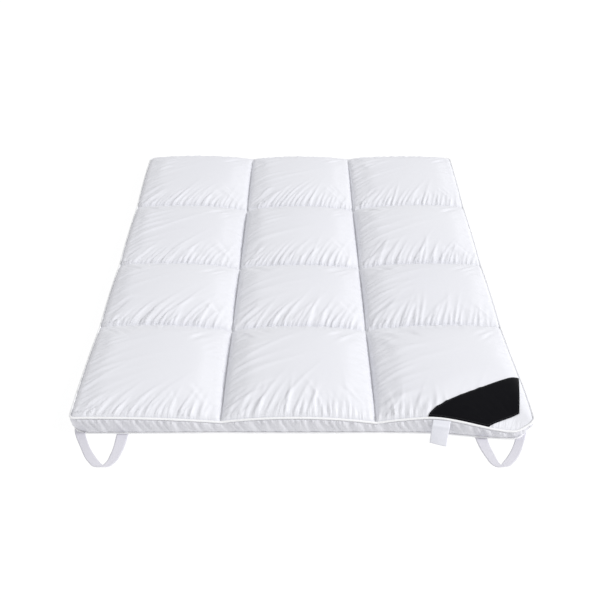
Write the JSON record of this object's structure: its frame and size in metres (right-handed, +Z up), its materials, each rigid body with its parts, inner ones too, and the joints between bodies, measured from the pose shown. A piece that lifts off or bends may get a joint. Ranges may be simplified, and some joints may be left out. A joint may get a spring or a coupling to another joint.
{
  "type": "mattress topper",
  "caption": "Quilted, filled mattress topper with piped edges, a gathered side band, elastic corner straps, a plain dark corner patch and a blank care label.",
  "frame": {"origin": "middle of the flat underside, on the surface it lies on", "axes": "+Z up; +Y from the front edge, with the label and patch, to the back edge; +X to the right seen from the front"},
  "size_m": [1.4172, 2.297, 0.104],
  "materials": {
    "cotton": "soft white cotton percale with a faint sheen",
    "piping": "white cotton over a cord",
    "elastic": "matt woven elastic",
    "satin_black": "black satin",
    "label": "white woven label satin, blank"
  },
  "bodies": {
    "root": {"pad": "cotton", "gusset": "cotton", "underside": "cotton", "piping_top": "piping", "piping_bottom": "piping", "strap_front_left": "elastic", "strap_front_right": "elastic", "strap_back_left": "elastic", "strap_back_right": "elastic", "corner_patch": "satin_black", "care_label": "label"}
  },
  "joints": []
}
